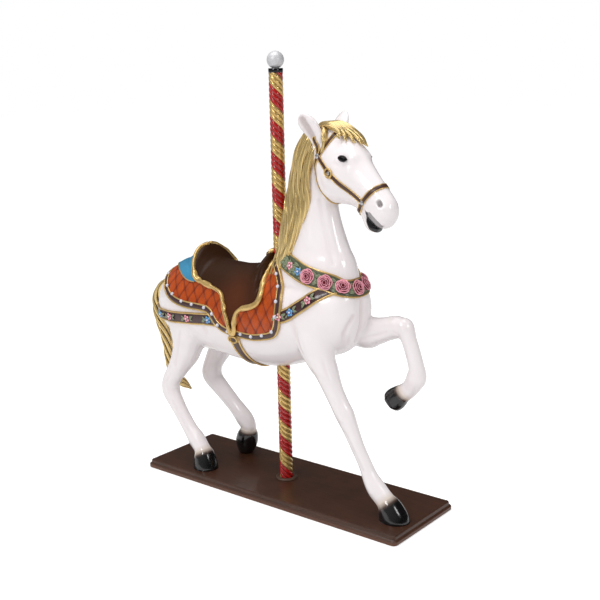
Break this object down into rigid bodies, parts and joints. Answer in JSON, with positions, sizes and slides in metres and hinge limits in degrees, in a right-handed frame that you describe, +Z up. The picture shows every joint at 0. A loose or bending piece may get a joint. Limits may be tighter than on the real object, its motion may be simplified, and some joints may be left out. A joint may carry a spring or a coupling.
{
  "type": "carousel horse statue",
  "caption": "Prancing carousel horse with saddle, quilted blanket, rose collar and bridle, carried on a spirally twisted pole over a stepped wooden plate.",
  "frame": {"origin": "middle of the base plate's underside", "axes": "+X the way the horse faces, +Y to the horse's left, +Z up"},
  "size_m": [1.3366, 0.384, 1.6545],
  "materials": {
    "white_gloss": "high-gloss warm white paint over cast fibreglass",
    "pole_paint": "glossy red and gold strands wound round the pole",
    "flange_brown": "dark brown satin paint",
    "ferrule_chrome": "polished",
    "ball_silver": "pearl silver-grey paint",
    "walnut": "dark walnut stain, satin lacquer"
  },
  "bodies": {
    "root": {"horse": "white_gloss", "pole": "pole_paint", "pole_flange": "flange_brown", "pole_ferrule": "ferrule_chrome", "ball_finial": "ball_silver", "base_plate": "walnut"}
  },
  "joints": []
}
